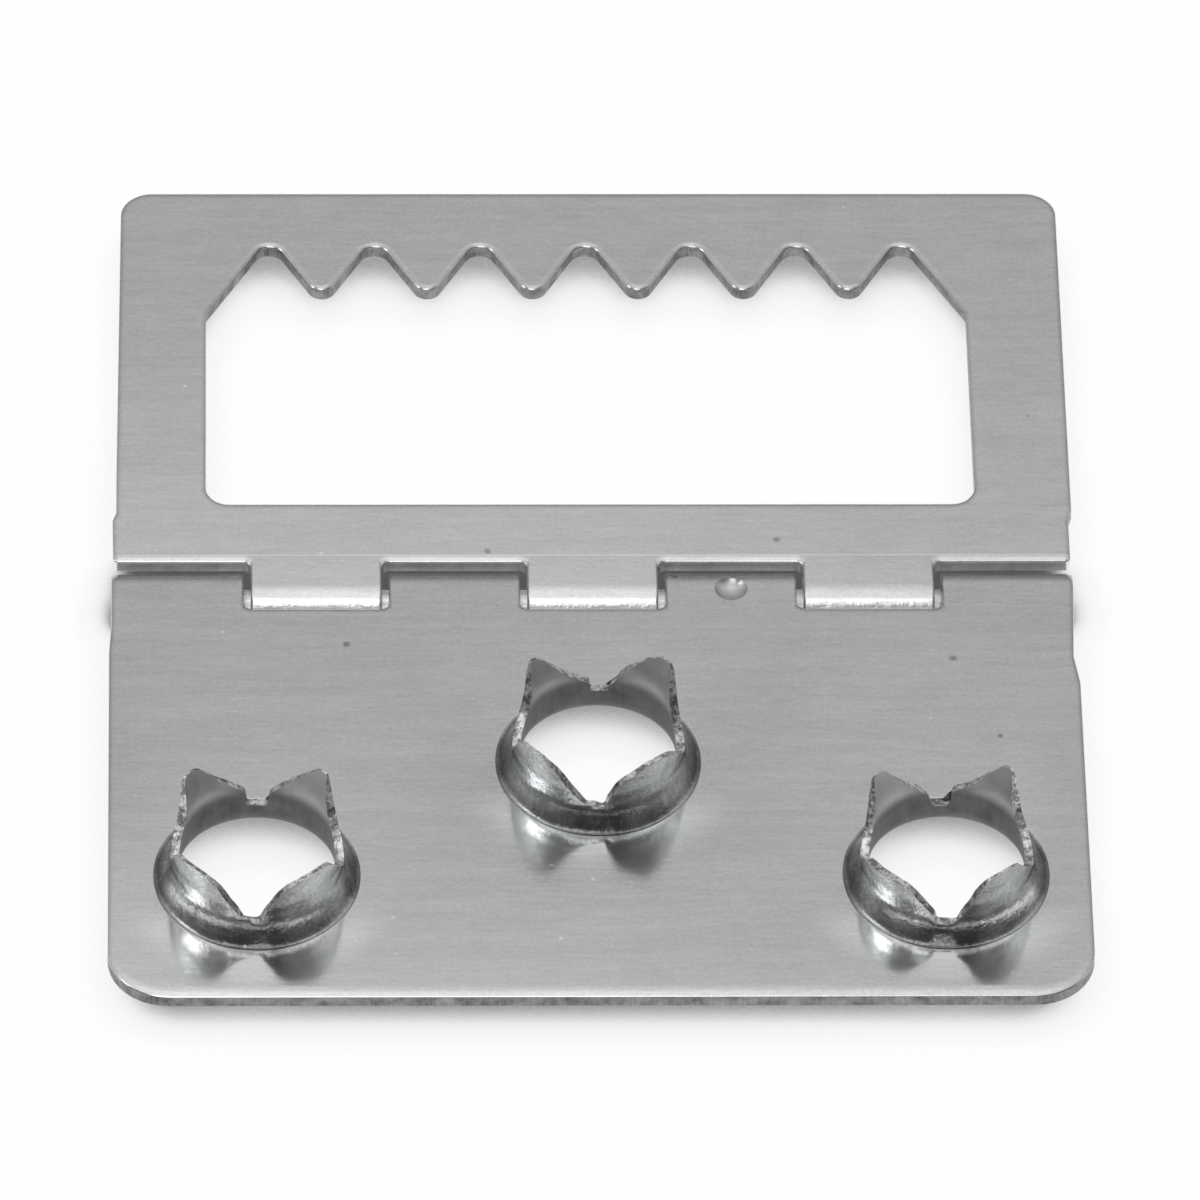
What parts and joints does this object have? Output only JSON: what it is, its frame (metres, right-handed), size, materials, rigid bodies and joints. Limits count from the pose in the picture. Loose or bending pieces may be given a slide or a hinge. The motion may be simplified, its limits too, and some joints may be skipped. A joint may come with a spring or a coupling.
{
  "type": "hinged picture hanger",
  "caption": "Plated sheet-steel picture hanger: a leaf with a sawtooth window, hinged on a staked pin to a fixing leaf with pierced crowns of prongs.",
  "frame": {"origin": "under the middle of the hinge pin, level with the underside of the rolled knuckles", "axes": "+X along the hinge, to the right as the prongs face the viewer and the sawtooth leaf is uppermost; +Y from the hinge to the outer edge of the sawtooth leaf; +Z out of the flush face, the way the prongs point"},
  "size_m": [0.045, 0.052, 0.0068],
  "materials": {
    "sawtooth_leaf": "satin zinc plate with a fine grain along the hinge",
    "fixing_leaf": "satin zinc plate, brighter where the crowns are drawn",
    "hinge_pin": "drawn steel wire, plated"
  },
  "bodies": {
    "fixing_side": {"fixing_leaf": "fixing_leaf", "hinge_pin": "hinge_pin"},
    "hanging_side": {"sawtooth_leaf": "sawtooth_leaf"}
  },
  "joints": [
    {"name": "leaf_hinge", "type": "hinge", "parent": "fixing_side", "child": "hanging_side", "pos_m": [0, 0, 0.00145], "axis": [1, 0, 0], "range_deg": [-180, 90]}
  ]
}
